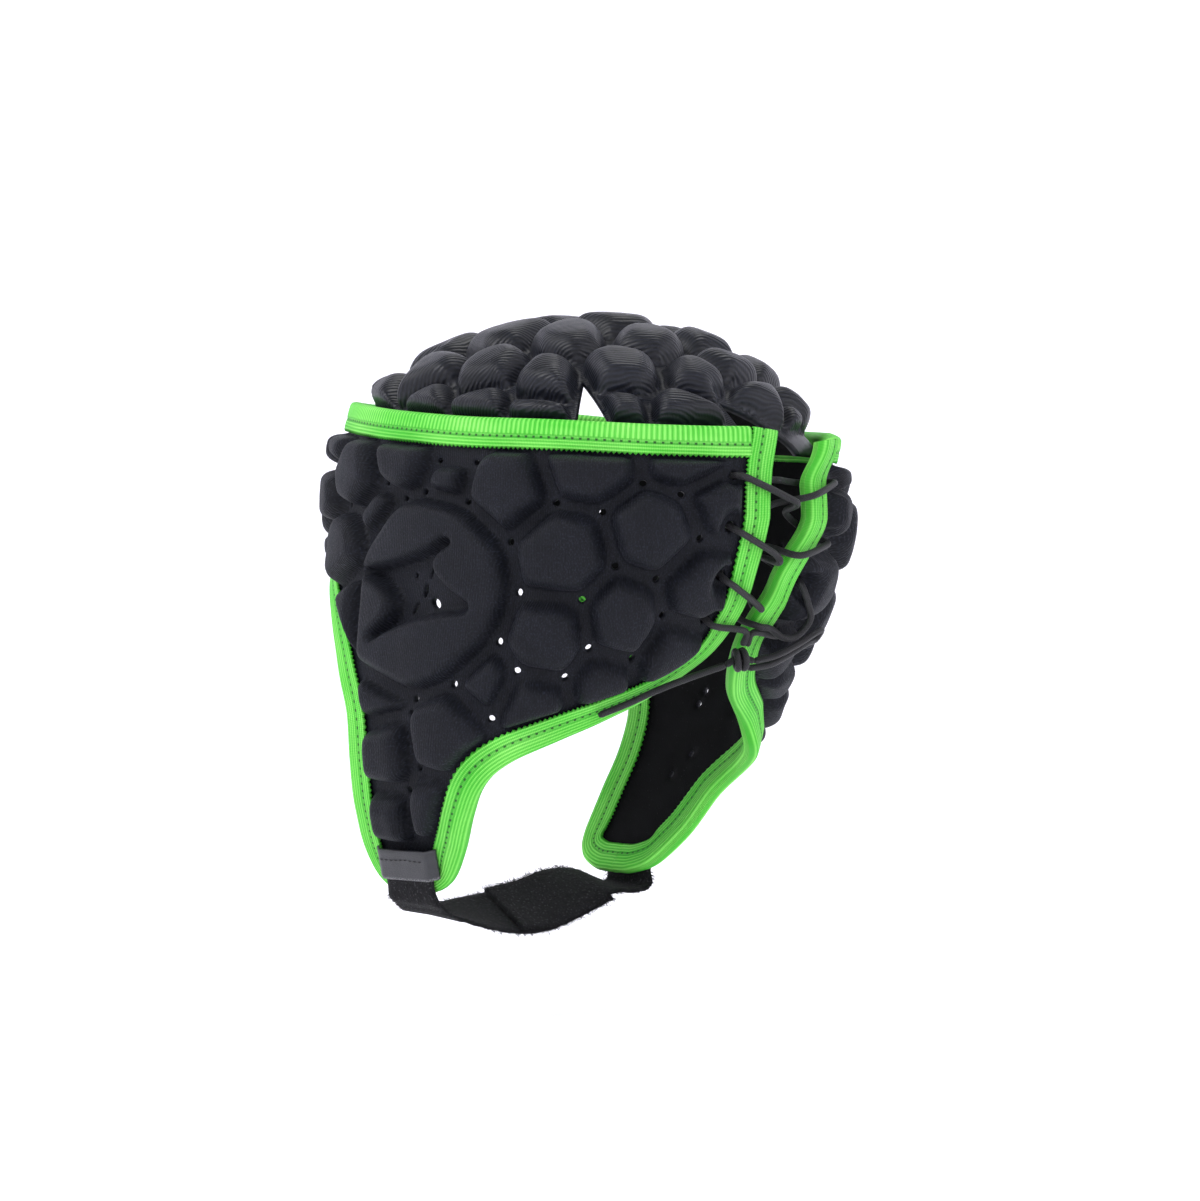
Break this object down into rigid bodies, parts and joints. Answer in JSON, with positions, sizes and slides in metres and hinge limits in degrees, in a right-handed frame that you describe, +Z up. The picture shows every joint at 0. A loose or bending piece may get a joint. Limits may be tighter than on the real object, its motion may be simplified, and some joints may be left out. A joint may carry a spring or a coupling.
{
  "type": "rugby scrum cap",
  "caption": "Soft padded rugby cap of moulded honeycomb pads bound in elastic tape, with vented ears, a laced back and a hook-and-loop chin strap.",
  "frame": {"origin": "middle of the crown's inside, where the cap sits on the top of the head", "axes": "+Z up, -Y the way the wearer faces, +X the wearer's left"},
  "size_m": [0.1822, 0.2224, 0.2403],
  "materials": {
    "pad": "fine black knit over moulded foam, slight sheen",
    "tape": "bright green ribbed elastic tape with toothed edges",
    "patch": "smooth dark leatherette, satin",
    "strap": "black hook-and-loop webbing with a fuzzy pile",
    "cord": "round braided elastic cord, dark grey"
  },
  "bodies": {
    "root": {"wrap_panel": "pad", "crown_panel": "pad", "top_binding": "tape", "face_binding": "tape", "nape_binding_left": "tape", "nape_binding_right": "tape", "strap_patch_left": "patch", "strap_patch_right": "patch", "chin_strap_left": "strap", "chin_strap_right": "strap", "lace": "cord", "lace_knot": "cord", "lace_tail_left": "cord", "lace_tail_right": "cord"}
  },
  "joints": []
}
